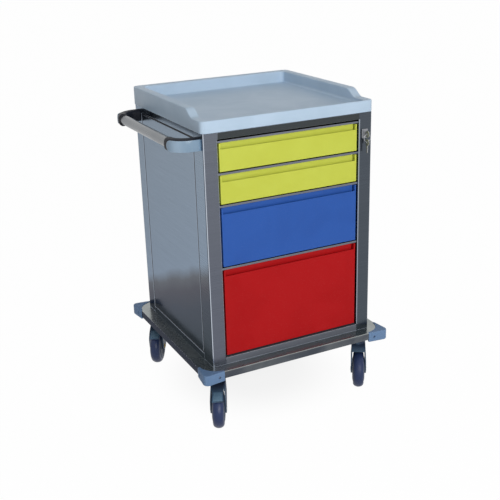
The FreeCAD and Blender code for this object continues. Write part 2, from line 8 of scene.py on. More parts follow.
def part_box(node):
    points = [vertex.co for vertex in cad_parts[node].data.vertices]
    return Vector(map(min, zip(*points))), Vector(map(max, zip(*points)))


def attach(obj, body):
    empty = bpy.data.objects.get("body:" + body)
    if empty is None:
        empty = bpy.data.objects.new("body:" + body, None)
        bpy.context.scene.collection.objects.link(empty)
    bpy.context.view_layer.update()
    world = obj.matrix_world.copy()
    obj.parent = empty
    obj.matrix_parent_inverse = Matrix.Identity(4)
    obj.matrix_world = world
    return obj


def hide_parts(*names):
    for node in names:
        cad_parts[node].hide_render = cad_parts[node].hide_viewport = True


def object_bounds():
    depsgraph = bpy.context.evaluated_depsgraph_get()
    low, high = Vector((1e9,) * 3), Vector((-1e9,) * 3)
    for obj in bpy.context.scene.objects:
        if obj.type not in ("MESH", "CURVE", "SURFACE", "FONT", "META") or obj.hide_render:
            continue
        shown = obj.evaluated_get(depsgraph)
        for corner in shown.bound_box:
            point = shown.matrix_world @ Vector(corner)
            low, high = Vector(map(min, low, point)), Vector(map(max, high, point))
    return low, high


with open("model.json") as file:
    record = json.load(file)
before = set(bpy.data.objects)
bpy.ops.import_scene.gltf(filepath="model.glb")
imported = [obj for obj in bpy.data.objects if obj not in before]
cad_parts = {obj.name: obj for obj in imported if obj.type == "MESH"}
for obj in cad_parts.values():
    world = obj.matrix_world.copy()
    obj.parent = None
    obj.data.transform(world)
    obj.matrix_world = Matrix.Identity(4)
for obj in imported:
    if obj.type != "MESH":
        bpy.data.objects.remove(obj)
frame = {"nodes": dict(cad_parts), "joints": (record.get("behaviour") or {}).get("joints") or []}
cadLow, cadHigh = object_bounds()
nodes = frame["nodes"]
joints = {joint["name"]: joint for joint in frame["joints"]}
scene = bpy.context.scene
deckLow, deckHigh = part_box("top_deck")
cartMiddle = (deckLow + deckHigh) / 2
print("frame loaded,", len(nodes), "nodes")


# mesh helpers

def boxMesh(bm, first, second):
    # a box between any two opposite corners
    low = Vector([min(pair) for pair in zip(first, second)])
    high = Vector([max(pair) for pair in zip(first, second)])
    place = Matrix.Translation((low + high) / 2) @ Matrix.Diagonal((*(high - low), 1))
    return bmesh.ops.create_cube(bm, size=1, matrix=place)["verts"]


def barMesh(bm, radius, start, end, sides=48):
    start, end = Vector(start), Vector(end)
    turn = (end - start).to_track_quat("Z", "Y").to_matrix().to_4x4()
    return bmesh.ops.create_cone(bm, cap_ends=True, segments=sides, radius1=radius, radius2=radius,
                                 depth=(end - start).length,
                                 matrix=Matrix.Translation((start + end) / 2) @ turn)["verts"]


def softenEdges(bm, edges, width, segments=3):
    bmesh.ops.bevel(bm, geom=edges, offset=width, offset_type="OFFSET", affect="EDGES", segments=segments,
                    profile=0.5, material=-1, clamp_overlap=True)


def foldEdges(bm, angle=30):
    return [e for e in bm.edges if len(e.link_faces) == 2 and e.calc_face_angle(0) > radians(angle)]


def outlineFace(bm, points, axis):
    # a flat outline drawn from a few corners; axis is the direction it gets its thickness in
    corners = []
    for a, b in points:
        corners.append(bm.verts.new({"y": (a, 0, b), "z": (a, b, 0)}[axis]))
    return bm.faces.new(corners)


def onlyVerts(geometry):
    return [part for part in geometry if isinstance(part, bmesh.types.BMVert)]


def thicken(bm, face, offset):
    grown = bmesh.ops.extrude_face_region(bm, geom=[face])["geom"]
    bmesh.ops.translate(bm, vec=offset, verts=onlyVerts(grown))


def spinSection(bm, points, centre, axis, steps=72):
    # points are distance from the axis and place along it; the outline is closed and turned once round
    axis = Vector(axis)
    across = axis.orthogonal().normalized()
    ring = [bm.verts.new(Vector(centre) + across * out + axis * along) for out, along in points]
    edges = [bm.edges.new((ring[i], ring[(i + 1) % len(ring)])) for i in range(len(ring))]
    bmesh.ops.spin(bm, geom=ring + edges, cent=centre, axis=axis, angle=2 * pi, steps=steps, use_merge=True)


def sliceAt(bm, point, normal):
    bmesh.ops.bisect_plane(bm, geom=bm.verts[:] + bm.edges[:] + bm.faces[:], dist=1e-6, plane_co=point,
                           plane_no=normal)


def joinInto(bm, other):
    mesh = bpy.data.meshes.new("part")
    other.to_mesh(mesh)
    other.free()
    bm.from_mesh(mesh)
    bpy.data.meshes.remove(mesh)


def finishPiece(name, bm, body, replaced, finish, sharp=38):
    bmesh.ops.remove_doubles(bm, verts=bm.verts, dist=1e-6)
    bmesh.ops.recalc_face_normals(bm, faces=bm.faces)
    mesh = bpy.data.meshes.new(name)
    bm.to_mesh(mesh)
    bm.free()
    mesh.shade_smooth()
    mesh.set_sharp_from_angle(angle=radians(sharp))
    piece = bpy.data.objects.new(name, mesh)
    scene.collection.objects.link(piece)
    mesh.materials.append(finishes[finish])
    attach(piece, body)
    if replaced:
        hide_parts(*replaced)
    return piece


def carve(bm, cutter):
    # takes one mesh out of another and gives the rest back
    rest, tool = bpy.data.meshes.new("rest"), bpy.data.meshes.new("tool")
    for source, mesh in ((bm, rest), (cutter, tool)):
        bmesh.ops.recalc_face_normals(source, faces=source.faces)
        source.to_mesh(mesh)
        source.free()
    restObject, toolObject = bpy.data.objects.new("rest", rest), bpy.data.objects.new("tool", tool)
    scene.collection.objects.link(restObject)
    scene.collection.objects.link(toolObject)
    cut = restObject.modifiers.new("cut", "BOOLEAN")
    cut.operation, cut.solver, cut.object = "DIFFERENCE", "EXACT", toolObject
    bpy.context.view_layer.update()
    evaluated = restObject.evaluated_get(bpy.context.evaluated_depsgraph_get())
    made = bmesh.new()
    made.from_mesh(evaluated.to_mesh())
    evaluated.to_mesh_clear()
    bpy.data.objects.remove(restObject)
    bpy.data.objects.remove(toolObject)
    bmesh.ops.remove_doubles(made, verts=made.verts, dist=2e-6)
    bmesh.ops.dissolve_limit(made, angle_limit=radians(1), verts=made.verts, edges=made.edges)
    return made


def softenedNode(node, name, body, finish, width, segments=2, angle=30, hem=None):
    # the node's own shape with its folds rounded off; hem is the plane its rolled edge ends in
    bm = bmesh.new()
    bm.from_mesh(nodes[node].data)
    bmesh.ops.remove_doubles(bm, verts=bm.verts, dist=1e-5)
    bmesh.ops.dissolve_limit(bm, angle_limit=radians(1), verts=bm.verts, edges=bm.edges)
    if hem:
        rolled = [e for e in foldEdges(bm, 60) if e.calc_length() > carcass["hemLength"]
                  and all(abs(getattr(v.co, hem[0]) - hem[1]) < 1e-4 for v in e.verts)]
        softenEdges(bm, rolled, carcass["hemRadius"], 4)
    piece = finishPiece(name, bm, body, [node], finish)
    roundOff = piece.modifiers.new("roundOff", "BEVEL")
    roundOff.width, roundOff.segments, roundOff.limit_method = width, segments, "ANGLE"
    roundOff.angle_limit = radians(angle)
    even = piece.modifiers.new("evenShading", "WEIGHTED_NORMAL")
    even.weight, even.keep_sharp = 100, True
    return piece


def paintNode(node, finish):
    nodes[node].data.materials.clear()
    nodes[node].data.materials.append(finishes[finish])


# shader groups shared by the finishes

def tint(red, green, blue):
    def straight(value):
        value /= 255
        return value / 12.92 if value <= 0.04045 else ((value + 0.055) / 1.055) ** 2.4
    return (straight(red), straight(green), straight(blue), 1)


def addNode(tree, kind, **settings):
    node = tree.nodes.new(kind)
    for key, value in settings.items():
        setattr(node, key, value)
    return node


def newGroup(name, inputs, outputs):
    group = bpy.data.node_groups.new(name, "ShaderNodeTree")
    for label, kind, value in inputs:
        socket = group.interface.new_socket(name=label, in_out="INPUT", socket_type=kind)
        socket.default_value = value
    for label, kind in outputs:
        group.interface.new_socket(name=label, in_out="OUTPUT", socket_type=kind)
    return group, addNode(group, "NodeGroupInput"), addNode(group, "NodeGroupOutput")


def rangeNode(tree, source, low, high, outLow=0.0, outHigh=1.0, smooth=False):
    node = addNode(tree, "ShaderNodeMapRange", interpolation_type="SMOOTHSTEP" if smooth else "LINEAR")
    for index, value in enumerate((low, high, outLow, outHigh), start=1):
        node.inputs[index].default_value = value
    tree.links.new(source, node.inputs[0])
    return node.outputs[0]


def mathNode(tree, operation, first, second):
    node = addNode(tree, "ShaderNodeMath", operation=operation)
    for index, value in enumerate((first, second)):
        if isinstance(value, (int, float)):
            node.inputs[index].default_value = value
        else:
            tree.links.new(value, node.inputs[index])
    return node.outputs[0]


def bendHighlightMaskGroup():
    # finds rounded folds, where a face looks along none of the three main directions; it places the painted
    # highlight
    group, given, out = newGroup("bendHighlightMask", [("Spread", "NodeSocketFloat", 0.25)],
                                 [("Mask", "NodeSocketFloat")])
    place = addNode(group, "ShaderNodeTexCoord")
    size = addNode(group, "ShaderNodeVectorMath", operation="ABSOLUTE")
    group.links.new(place.outputs["Normal"], size.inputs[0])
    parts = addNode(group, "ShaderNodeSeparateXYZ")
    group.links.new(size.outputs[0], parts.inputs[0])
    most = mathNode(group, "MAXIMUM", parts.outputs[0], parts.outputs[1])
    most = mathNode(group, "MAXIMUM", most, parts.outputs[2])
    away = mathNode(group, "SUBTRACT", 1.0, most)
    share = mathNode(group, "DIVIDE", away, given.outputs["Spread"])
    group.links.new(rangeNode(group, share, 0.05, 1.0, smooth=True), out.inputs["Mask"])
    return group


def grainGroup():
    # fine lines that run level round the cart, for brushed sheet
    group, given, out = newGroup("brushedGrain", [("Fineness", "NodeSocketFloat", 900.0),
                                                  ("Run", "NodeSocketFloat", 6.0)],
                                 [("Tone", "NodeSocketFloat"), ("Height", "NodeSocketFloat")])
    place = addNode(group, "ShaderNodeTexCoord")
    scale = addNode(group, "ShaderNodeCombineXYZ")
    group.links.new(given.outputs["Run"], scale.inputs[0])
    group.links.new(given.outputs["Run"], scale.inputs[1])
    group.links.new(given.outputs["Fineness"], scale.inputs[2])
    stretched = addNode(group, "ShaderNodeVectorMath", operation="MULTIPLY")
    group.links.new(place.outputs["Object"], stretched.inputs[0])
    group.links.new(scale.outputs[0], stretched.inputs[1])
    lines = addNode(group, "ShaderNodeTexNoise")
    lines.inputs["Scale"].default_value = 1.0
    lines.inputs["Detail"].default_value = 3.0
    lines.inputs["Roughness"].default_value = 0.6
    group.links.new(stretched.outputs[0], lines.inputs["Vector"])
    group.links.new(rangeNode(group, lines.outputs[0], 0.3, 0.7), out.inputs["Tone"])
    group.links.new(lines.outputs[0], out.inputs["Height"])
    return group


def handlingGroup():
    # cloudy smears and a little settled dust
    group, given, out = newGroup("handlingMarks", [("Size", "NodeSocketFloat", 7.0)],
                                 [("Smear", "NodeSocketFloat"), ("Dust", "NodeSocketFloat")])
    place = addNode(group, "ShaderNodeTexCoord")
    cloud = addNode(group, "ShaderNodeTexNoise")
    cloud.inputs["Detail"].default_value = 5.0
    cloud.inputs["Distortion"].default_value = 0.6
    group.links.new(given.outputs["Size"], cloud.inputs["Scale"])
    group.links.new(place.outputs["Object"], cloud.inputs["Vector"])
    group.links.new(rangeNode(group, cloud.outputs[0], 0.35, 0.7, smooth=True), out.inputs["Smear"])
    specks = addNode(group, "ShaderNodeTexNoise")
    specks.inputs["Detail"].default_value = 2.0
    group.links.new(mathNode(group, "MULTIPLY", given.outputs["Size"], 55.0), specks.inputs["Scale"])
    group.links.new(place.outputs["Object"], specks.inputs["Vector"])
    group.links.new(rangeNode(group, specks.outputs[0], 0.6, 0.8, smooth=True), out.inputs["Dust"])
    return group


def stippleGroup():
    # the fine orange peel of powder coat, or the texture of moulded plastic
    group, given, out = newGroup("stipple", [("Fineness", "NodeSocketFloat", 500.0)],
                                 [("Tone", "NodeSocketFloat"), ("Height", "NodeSocketFloat")])
    place = addNode(group, "ShaderNodeTexCoord")
    cells = addNode(group, "ShaderNodeTexVoronoi", feature="SMOOTH_F1")
    group.links.new(given.outputs["Fineness"], cells.inputs["Scale"])
    group.links.new(place.outputs["Object"], cells.inputs["Vector"])
    rough = addNode(group, "ShaderNodeTexNoise")
    rough.inputs["Detail"].default_value = 3.0
    group.links.new(mathNode(group, "MULTIPLY", given.outputs["Fineness"], 0.4), rough.inputs["Scale"])
    group.links.new(place.outputs["Object"], rough.inputs["Vector"])
    both = mathNode(group, "ADD", cells.outputs["Distance"], rough.outputs[0])
    group.links.new(both, out.inputs["Height"])
    group.links.new(rangeNode(group, both, 0.5, 1.3), out.inputs["Tone"])
    return group


bendHighlightMask, brushedGrain = bendHighlightMaskGroup(), grainGroup()
handlingMarks, stipple = handlingGroup(), stippleGroup()


# finishes, with colours from 0 to 255; colour is the plain surface, low is the darker tone that smears and
# stipple mix in and the painted shade it fades to towards the floor, bend is the painted highlight on its
# folds, and the sideways sheets get a painted reflection from a list of heights and colours
paintedReflectionStops = [(0.20, (78, 85, 90)), (0.31, (86, 91, 98)), (0.375, (98, 98, 103)),
             (0.415, (114, 117, 121)), (0.455, (146, 161, 177)), (0.95, (147, 160, 172))]
sheenEdge = (188, 190, 196)
brushed = dict(metal=1.0, grain=0.10, shadeFade=(0.95, 0.22), smear=0.06)
sheet = dict(brushed, paintedReflection=paintedReflectionStops, edge=sheenEdge)
hardware = dict(metal=1.0, grain=0.10, smear=0.2)
coated = dict(stipple=0.25, stippleSize=520, smear=0.08, shine=0.5)
moulded = dict(stipple=0.45, stippleSize=420, smear=0.15, gloss=0.3)
smooth = dict(stippleSize=600, shine=0.4, gloss=0.25)
finishLooks = {
    # the steels are one stainless steel in lighter and darker copies: their colours, fades and bends paint
    # the light, shade and reflection on each part
    "sideSteel": dict(sheet, colour=(124, 134, 148), low=(88, 92, 99), bend=(196, 206, 222), rough=0.15,
                      shadeFade=(0.50, 0.24)),
    "leftPostLitSteel": dict(sheet, colour=(106, 111, 121), low=(96, 100, 112), bend=(226, 234, 246),
                          rough=0.22, foldShade=(52, 58, 70)),
    "rightPostShadedSteel": dict(sheet, colour=(80, 86, 94), low=(76, 84, 92), bend=(176, 184, 196), rough=0.22),
    "topRailShadedSteel": dict(brushed, colour=(66, 70, 72), low=(64, 68, 70), bend=(176, 182, 190), rough=0.24),
    "lowRailLitSteel": dict(brushed, colour=(104, 108, 118), low=(102, 106, 116), bend=(196, 202, 212),
                         rough=0.3, metal=0.45),
    # painted reflection on the base: pale on its top, dark below its top edge and darkest on the faces that
    # look sideways
    "baseSteel": dict(sheet, colour=(184, 188, 184), low=(70, 75, 84), bend=(222, 227, 236), rough=0.20,
                      grain=0.08, shadeFade=(0.203, 0.198), smear=0.08, paintedReflection=[(0.0, (52, 54, 61))], shine=1.0,
                      spread=0.15),
    "stripSteel": dict(brushed, colour=(116, 120, 130), low=(108, 112, 122), bend=(176, 182, 192), rough=0.3,
                       grain=0.12, smear=0.08),
    # painted shade: the tube darker along its underside
    "tubeSteel": dict(brushed, colour=(124, 127, 130), low=(112, 116, 122), bend=(160, 160, 158), rough=0.24,
                      grain=0.08, shadeFade=(0.925, 0.90), smear=0.08, shine=0.0),
    "zincPlate": dict(hardware, colour=(176, 180, 184), low=(150, 155, 160), bend=(205, 208, 210),
                      rough=0.38),
    "screwSteel": dict(hardware, colour=(128, 142, 166), low=(104, 118, 140), bend=(160, 170, 186),
                       rough=0.35),
    "nickel": dict(hardware, colour=(150, 152, 156), low=(120, 122, 128), bend=(205, 207, 210), rough=0.45,
                   metal=0.8, grain=0.06, smear=0.15),
    "trayPlastic": dict(coated, colour=(189, 210, 230), low=(182, 204, 224), bend=(203, 223, 243),
                        rough=0.42, stipple=0.18, stippleSize=700, shine=0.3, gloss=0.3),
    "yellowCoat": dict(coated, colour=(201, 209, 80), low=(197, 204, 74), bend=(212, 220, 100), rough=0.42,
                       gloss=0.25),
    "blueCoat": dict(coated, colour=(44, 90, 172), low=(42, 86, 166), bend=(70, 116, 190), rough=0.4,
                     gloss=0.2),
    "redCoat": dict(coated, colour=(178, 20, 24), low=(172, 17, 21), bend=(194, 40, 46), rough=0.4,
                    gloss=0.1),
    "boxGrey": dict(colour=(176, 180, 186), low=(166, 170, 178), bend=(205, 208, 212), rough=0.45,
                    stipple=0.3, stippleSize=520, smear=0.1, gloss=0.3),
    "bumperPlastic": dict(smooth, colour=(108, 137, 173), low=(98, 127, 164), bend=(124, 152, 186),
                          rough=0.5, stipple=0.4, stippleSize=420, smear=0.12),
    "elbowPlastic": dict(smooth, colour=(20, 23, 32), low=(15, 18, 25), bend=(30, 34, 46), rough=0.45,
                         stipple=0.35, smear=0.12),
    "coverPlastic": dict(colour=(122, 150, 174), low=(114, 142, 168), bend=(160, 184, 206), rough=0.2,
                         stipple=0.1, stippleSize=600, smear=0.08, coat=0.6, shine=0.6),
    "housingPlastic": dict(moulded, colour=(46, 62, 82), low=(34, 44, 66), bend=(66, 88, 110), rough=0.48),
    "tyreRubber": dict(colour=(34, 52, 94), low=(26, 38, 70), bend=(34, 48, 88), rough=0.34, dust=0.02,
                       stipple=0.4, stippleSize=300, smear=0.25, gloss=0.35, shine=0.3),
    "hubPlastic": dict(moulded, colour=(36, 46, 68), low=(28, 34, 52), bend=(54, 70, 92), rough=0.5),
    "pedalPlastic": dict(moulded, colour=(34, 46, 66), low=(28, 36, 54), bend=(80, 112, 140), rough=0.42),
    "padPlastic": dict(moulded, colour=(74, 100, 122), low=(64, 90, 112), bend=(104, 134, 156), rough=0.4,
                       stipple=0.5),
    # painted shade: near black, for the strips standing in for the shade in the side panel grooves
    "grooveShadeBlack": dict(colour=(28, 32, 40), low=(20, 24, 30), bend=(36, 40, 48), rough=0.5,
                      stipple=0.2, stippleSize=600, smear=0.1, gloss=0.2),
    "capYellow": dict(colour=(196, 162, 44), low=(170, 136, 30), bend=(214, 184, 80), rough=0.5,
                      stipple=0.4, stippleSize=500, smear=0.2),
}
paint = {"slant": 0.407, "waver": 0.012, "sideFrom": 0.75, "sideTo": 0.95, "dust": (200, 200, 198),
         "coatRough": 0.15, "brushStrength": 0.08, "brushDepth": 0.0002, "stippleDepth": 0.0003}


def makeFinish(name, look):
    plain, low, bend = (tint(*look[key]) for key in ("colour", "low", "bend"))
    material = bpy.data.materials.new(name)
    material.use_nodes = True
    tree = material.node_tree
    surface = tree.nodes["Principled BSDF"]
    surface.inputs["Metallic"].default_value = look.get("metal", 0.0)
    surface.inputs["Specular IOR Level"].default_value = look.get("gloss", 0.5)
    surface.inputs["Coat Weight"].default_value = look.get("coat", 0.0)
    surface.inputs["Coat Roughness"].default_value = paint["coatRough"]
    surface.inputs["Specular Tint"].default_value = tint(*look.get("edge", (255, 255, 255)))
    marks = addNode(tree, "ShaderNodeGroup", node_tree=handlingMarks)

    def mixed(share, first, second):
        node = addNode(tree, "ShaderNodeMix", data_type="RGBA")
        for value, socket in ((share, node.inputs[0]), (first, node.inputs[6]), (second, node.inputs[7])):
            if isinstance(value, (int, float, tuple)):
                socket.default_value = value
            else:
                tree.links.new(value, socket)
        return node.outputs[2]

    share = marks.outputs["Smear"]
    if "shadeFade" in look:  # painted shade, darker towards the floor
        place = addNode(tree, "ShaderNodeTexCoord")
        spot = addNode(tree, "ShaderNodeSeparateXYZ")
        tree.links.new(place.outputs["Object"], spot.inputs[0])
        share = rangeNode(tree, spot.outputs[2], look["shadeFade"][0], look["shadeFade"][1])
        share = mathNode(tree, "ADD", mathNode(tree, "MULTIPLY", share, 0.85),
                         mathNode(tree, "MULTIPLY", marks.outputs["Smear"], 0.15))
    colour = mixed(share, plain, low)
    if "paintedReflection" in look:  # painted in place of what a sheet mirrors: pale above and dark below a slanted line
        slant = mathNode(tree, "MULTIPLY", spot.outputs[1], paint["slant"])
        waver = mathNode(tree, "MULTIPLY", marks.outputs["Smear"], paint["waver"])
        level = mathNode(tree, "ADD", mathNode(tree, "ADD", spot.outputs[2], slant), waver)
        ramp = addNode(tree, "ShaderNodeValToRGB")
        steps = ramp.color_ramp.elements
        while len(steps) < len(look["paintedReflection"]):
            steps.new(0.5)
        while len(steps) > len(look["paintedReflection"]):
            steps.remove(steps[-1])
        for step, (height, shade) in zip(steps, look["paintedReflection"]):
            step.position, step.color = height, tint(*shade)
        tree.links.new(level, ramp.inputs[0])
        facing = addNode(tree, "ShaderNodeSeparateXYZ")
        tree.links.new(place.outputs["Normal"], facing.inputs[0])
        turned = mathNode(tree, "ABSOLUTE", facing.outputs[0], 0)
        sideways = rangeNode(tree, turned, paint["sideFrom"], paint["sideTo"], smooth=True)
        colour = mixed(sideways, colour, ramp.outputs[0])
    rough = rangeNode(tree, marks.outputs["Smear"], 0, 1, look["rough"], look["rough"] + look["smear"])
    bump = addNode(tree, "ShaderNodeBump")
    if "grain" in look:
        grain = addNode(tree, "ShaderNodeGroup", node_tree=brushedGrain)
        dark = rangeNode(tree, grain.outputs["Tone"], 0, 1, 1 - look["grain"], 1 + look["grain"] * 0.4)
        lit = addNode(tree, "ShaderNodeVectorMath", operation="SCALE")
        tree.links.new(colour, lit.inputs[0])
        tree.links.new(dark, lit.inputs["Scale"])
        colour = lit.outputs[0]
        rough = mathNode(tree, "ADD", rough, rangeNode(tree, grain.outputs["Tone"], 0, 1, -0.03, 0.05))
        tree.links.new(grain.outputs["Height"], bump.inputs["Height"])
        bump.inputs["Strength"].default_value = paint["brushStrength"]
        bump.inputs["Distance"].default_value = paint["brushDepth"]
    else:
        skin = addNode(tree, "ShaderNodeGroup", node_tree=stipple)
        skin.inputs["Fineness"].default_value = look["stippleSize"]
        colour = mixed(rangeNode(tree, skin.outputs["Tone"], 0, 1, 0, 0.12), colour, low)
        tree.links.new(skin.outputs["Height"], bump.inputs["Height"])
        bump.inputs["Strength"].default_value = look["stipple"]
        bump.inputs["Distance"].default_value = paint["stippleDepth"]
    # painted highlight: the bend colour is mixed in on rounded folds, standing in for the light they catch
    bendHighlight = addNode(tree, "ShaderNodeGroup", node_tree=bendHighlightMask)
    bendHighlight.inputs["Spread"].default_value = look.get("spread", 0.25)
    colour = mixed(mathNode(tree, "MULTIPLY", bendHighlight.outputs["Mask"], look.get("shine", 0.8)), colour, bend)
    if "foldShade" in look:  # painted shade, a dark line where a side flange starts to fold
        line = mathNode(tree, "MULTIPLY", rangeNode(tree, turned, 0.76, 0.86, smooth=True),
                        rangeNode(tree, turned, 0.9995, 0.99, smooth=True))
        colour = mixed(line, colour, tint(*look["foldShade"]))
    colour = mixed(mathNode(tree, "MULTIPLY", marks.outputs["Dust"], look.get("dust", 0.08)), colour,
                   tint(*paint["dust"]))
    tree.links.new(colour, surface.inputs["Base Color"])
    tree.links.new(rough, surface.inputs["Roughness"])
    tree.links.new(bump.outputs[0], surface.inputs["Normal"])
    return material


finishes = {name: makeFinish(name, look) for name, look in finishLooks.items()}
print("finishes made,", len(finishes))


# carcass

carcass = {"foldRadius": 0.0006, "hemRadius": 0.0011, "hemLength": 0.2, "railRadius": 0.0005,
           "baseRadius": 0.003, "postFlange": 0.068, "rearReturn": 0.057}
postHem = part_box("front_left_upright")[0].y + carcass["postFlange"]
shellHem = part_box("rear_shell")[1].y - carcass["rearReturn"]

for node, name, finish, hem in (("front_left_upright", "leftPost", "leftPostLitSteel", ("y", postHem)),
                                ("front_right_upright", "rightPost", "rightPostShadedSteel", ("y", postHem)),
                                ("rear_shell", "backShell", "sideSteel", ("y", shellHem)),
                                ("top_deck", "deckSheet", "sideSteel", ("z", deckLow.z)),
                                ("floor_pan", "floorSheet", "sideSteel", ("z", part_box("floor_pan")[1].z)),
                                ("left_side_panel", "leftPanel", "sideSteel", None),
                                ("right_side_panel", "rightPanel", "sideSteel", None),
                                ("front_top_rail", "topRail", "topRailShadedSteel", None),
                                ("front_bottom_rail", "bottomRail", "lowRailLitSteel", None)):
    softenedNode(node, name, "cabinet", finish, carcass["foldRadius"], hem=hem)
softenedNode("divider_rails", "dividerStrips", "cabinet", "stripSteel", carcass["railRadius"])
softenedNode("base_frame", "basePan", "cabinet", "baseSteel", carcass["baseRadius"], segments=4)


def buildGrooveShade():
    # a near-black strip in the groove round each side panel, standing in for the shade in the groove
    look = {"lap": 0.010, "width": 0.006, "depth": 0.0014, "sunk": 0.0020}
    lap, width = look["lap"], look["width"]
    for node, name, side in (("left_side_panel", "grooveShadeLeft", -1), ("right_side_panel", "grooveShadeRight", 1)):
        low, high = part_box(node)
        low, high = low + Vector((0, lap, lap)), high - Vector((0, lap, lap))
        groove = (low.x if side < 0 else high.x) - side * look["sunk"]
        bm = bmesh.new()
        for startY, endY, startZ, endZ in ((low.y, high.y, low.z, low.z + width),
                                           (low.y, high.y, high.z - width, high.z),
                                           (low.y, low.y + width, low.z + width, high.z - width),
                                           (high.y - width, high.y, low.z + width, high.z - width)):
            boxMesh(bm, (groove, startY, startZ), (groove + side * look["depth"], endY, endZ))
        finishPiece(name, bm, "cabinet", None, "grooveShadeBlack")


buildGrooveShade()
print("carcass done")


# drawers

drawerLook = {"frontRadius": 0.0011, "boxRadius": 0.0005,
              "coats": ["yellowCoat", "yellowCoat", "blueCoat", "redCoat"],
              "slots": ["drawer_yellow", "drawer_yellow", "drawer_blue", "drawer_red"]}

for number in (1, 2, 3, 4):
    body = f"drawer_{number}"
    softenedNode(body + "_front", f"drawerFront{number}", body,
                 drawerLook["coats"][number - 1], drawerLook["frontRadius"], segments=3)
    softenedNode(body + "_box", f"drawerBox{number}", body, "boxGrey",
                 drawerLook["boxRadius"])
    for node in (body + "_slides", body + "_middle_slides"):
        paintNode(node, "zincPlate")
for node, finish in (("cabinet_slides", "zincPlate"), ("lock_bar", "zincPlate"),
                     ("caster_stems", "housingPlastic")):
    paintNode(node, finish)
print("drawers done")


# worktop

def buildWorktop():
    look = {"rimWidth": 0.029, "lipWidth": 0.009, "lipHeight": 0.0365, "floorHeight": 0.0215,
            "rimRound": 0.0044, "cove": 0.010, "underRound": 0.0015, "outerCorner": 0.018,
            "innerCorner": 0.015, "slopeStart": -0.167, "slopeEnd": -0.219, "slopeSteps": 14}
    low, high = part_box("worktop")
    middle = (low + high) / 2
    bm = bmesh.new()
    boxMesh(bm, low, high)
    top = max(bm.faces, key=lambda f: f.calc_center_median().z)
    bmesh.ops.inset_region(bm, faces=[top], thickness=look["rimWidth"], use_even_offset=True)
    for vert in top.verts:
        if vert.co.y < middle.y:
            vert.co.y = low.y + look["lipWidth"]
    sunk = bmesh.ops.extrude_discrete_faces(bm, faces=[top])["faces"][0]
    floorZ = low.z + look["floorHeight"]
    for vert in sunk.verts:
        vert.co.z = floorZ

    def uprightEdges(outer):
        found = []
        for edge in bm.edges:
            a, b = edge.verts
            if (a.co.xy - b.co.xy).length < 1e-6 and abs(a.co.z - b.co.z) > 0.01:
                if (abs(abs(a.co.x - middle.x) - (high.x - middle.x)) < 1e-5) == outer:
                    found.append(edge)
        return found

    outside, inside = uprightEdges(True), uprightEdges(False)
    softenEdges(bm, outside, look["outerCorner"], 8)
    softenEdges(bm, inside, look["innerCorner"], 8)
    softenEdges(bm, [e for e in foldEdges(bm) if min(v.co.z for v in e.verts) > high.z - 1e-5],
                look["rimRound"], 5)
    softenEdges(bm, [e for e in foldEdges(bm) if all(abs(v.co.z - floorZ) < 1e-5 for v in e.verts)],
                look["cove"], 6)
    softenEdges(bm, [e for e in foldEdges(bm) if max(v.co.z for v in e.verts) < low.z + 1e-5],
                look["underRound"], 2)
    start, end = cartMiddle.y + look["slopeStart"], cartMiddle.y + look["slopeEnd"]
    for step in range(look["slopeSteps"] + 1):
        sliceAt(bm, (0, start + (end - start) * step / look["slopeSteps"], 0), (0, 1, 0))
    drop = high.z - low.z - look["lipHeight"]
    for vert in bm.verts:  # the side rims slope down to the lip
        if vert.co.z > high.z - look["rimRound"] - 1e-4:
            share = min(1, max(0, (start - vert.co.y) / (start - end)))
            vert.co.z -= drop * share * share * (3 - 2 * share)
    finishPiece("worktopTray", bm, "cabinet", ["worktop"], "trayPlastic")


buildWorktop()
print("worktop done")


# bumpers and screws

bumperLook = {"edgeRound": 0.003, "cornerRound": 0.0219, "endProud": 0.0025, "cornerProud": 0.012,
              "frontLeg": 0.063, "sideLeg": 0.064, "lipWidth": 0.004, "baseCorner": 0.062, "baseGap": 0.0001,
              "topGap": 0.00005, "screwInset": 0.043, "screwZ": 0.186, "screwHole": 0.0045}
screwLook = {"radius": 0.0042, "height": 0.0022, "edgeRound": 0.001, "crossReach": 0.0022,
             "crossHalf": 0.0005, "crossFrom": 0.001, "crossTo": 0.004}
baseLow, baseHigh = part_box("base_frame")
baseMiddle = (baseLow + baseHigh) / 2
baseHalf = baseHigh - baseMiddle
screwX, screwY = baseHalf.x - bumperLook["screwInset"], baseHalf.y - bumperLook["screwInset"]


